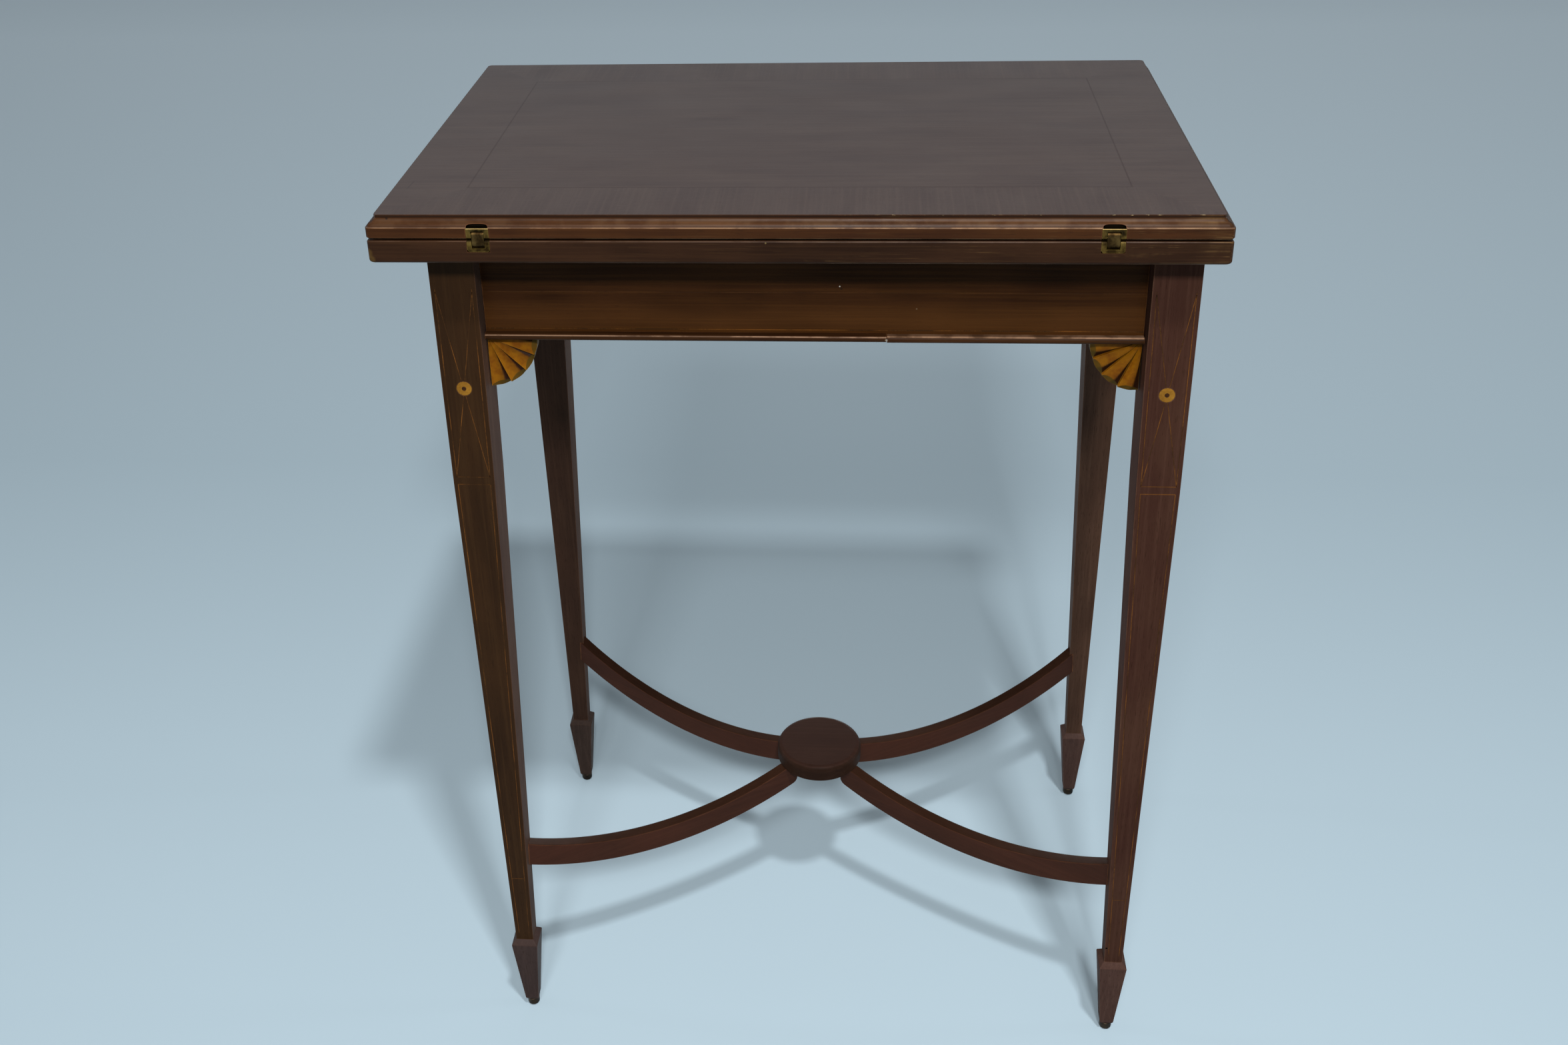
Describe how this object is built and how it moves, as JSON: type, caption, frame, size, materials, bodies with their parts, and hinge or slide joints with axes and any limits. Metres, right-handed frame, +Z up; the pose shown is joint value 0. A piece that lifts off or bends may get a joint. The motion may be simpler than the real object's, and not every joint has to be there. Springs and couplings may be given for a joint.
{
  "type": "folding card table",
  "caption": "Rectangular folding card table with a turn-and-fold top on link hinges, four tapered spade-foot legs, fan brackets and a curved cross stretcher with a round boss.",
  "frame": {"origin": "on the floor under the middle of the closed top", "axes": "+Z up; -Y is the front, where the two leaves are hinged; +X to the right seen from the front"},
  "size_m": [0.559, 0.37, 0.746],
  "materials": {
    "mahogany": "french polished",
    "mahogany_top": "french polished, faded",
    "secondary_wood": "unpolished",
    "satinwood": "scorched and polished inlay",
    "boxwood": "polished inlay",
    "brass": "tarnished",
    "steel": "dulled",
    "cloth": "felted wool"
  },
  "bodies": {
    "frame": {"leg_front_left": "mahogany", "leg_front_right": "mahogany", "leg_back_left": "mahogany", "leg_back_right": "mahogany", "spade_foot_front_left": "mahogany", "spade_foot_front_right": "mahogany", "spade_foot_back_left": "mahogany", "spade_foot_back_right": "mahogany", "glide_front_left": "steel", "glide_front_right": "steel", "glide_back_left": "steel", "glide_back_right": "steel", "apron_front": "mahogany", "apron_back": "mahogany", "apron_left": "mahogany", "apron_right": "mahogany", "bead_front": "mahogany", "bead_back": "mahogany", "bead_left": "mahogany", "bead_right": "mahogany", "fan_front_left_long": "satinwood", "fan_front_right_long": "satinwood", "fan_back_left_long": "satinwood", "fan_back_right_long": "satinwood", "fan_front_left_short": "satinwood", "fan_front_right_short": "satinwood", "fan_back_left_short": "satinwood", "fan_back_right_short": "satinwood", "roundel_front_left": "boxwood", "roundel_front_right": "boxwood", "roundel_back_left": "boxwood", "roundel_back_right": "boxwood", "stretcher_arm_front_left": "mahogany", "stretcher_arm_front_right": "mahogany", "stretcher_arm_back_left": "mahogany", "stretcher_arm_back_right": "mahogany", "stretcher_disc": "mahogany", "pivot_rail": "secondary_wood", "well_floor": "secondary_wood"},
    "turning_leaf": {"lower_leaf": "mahogany", "lower_cloth": "cloth", "swivel_stop": "secondary_wood", "pivot_bolt": "steel", "pivot_washer": "steel", "pivot_nut": "steel", "hinge_plate_lower_left": "brass", "hinge_plate_lower_right": "brass", "hinge_pin_lower_left": "brass", "hinge_pin_lower_right": "brass"},
    "hinge_links": {"hinge_link_left": "brass", "hinge_link_right": "brass"},
    "folding_leaf": {"upper_leaf": "mahogany_top", "upper_cloth": "cloth", "hinge_plate_upper_left": "brass", "hinge_plate_upper_right": "brass", "hinge_pin_upper_left": "brass", "hinge_pin_upper_right": "brass"}
  },
  "joints": [
    {"name": "top_swivel", "type": "hinge", "parent": "frame", "child": "turning_leaf", "pos_m": [-0.0875, -0.0875, 0.7], "axis": [0, 0, 1], "range_deg": [0, 90]},
    {"name": "link_swing", "type": "hinge", "parent": "turning_leaf", "child": "hinge_links", "pos_m": [0, -0.1824, 0.7272], "axis": [1, 0, 0], "range_deg": [0, 90]},
    {"name": "leaf_swing", "type": "hinge", "parent": "hinge_links", "child": "folding_leaf", "pos_m": [0, -0.1824, 0.7334], "axis": [1, 0, 0], "range_deg": [0, 90]}
  ],
  "couplings": [
    {"joint": "leaf_swing", "follows": "link_swing", "ratio": 1}
  ]
}
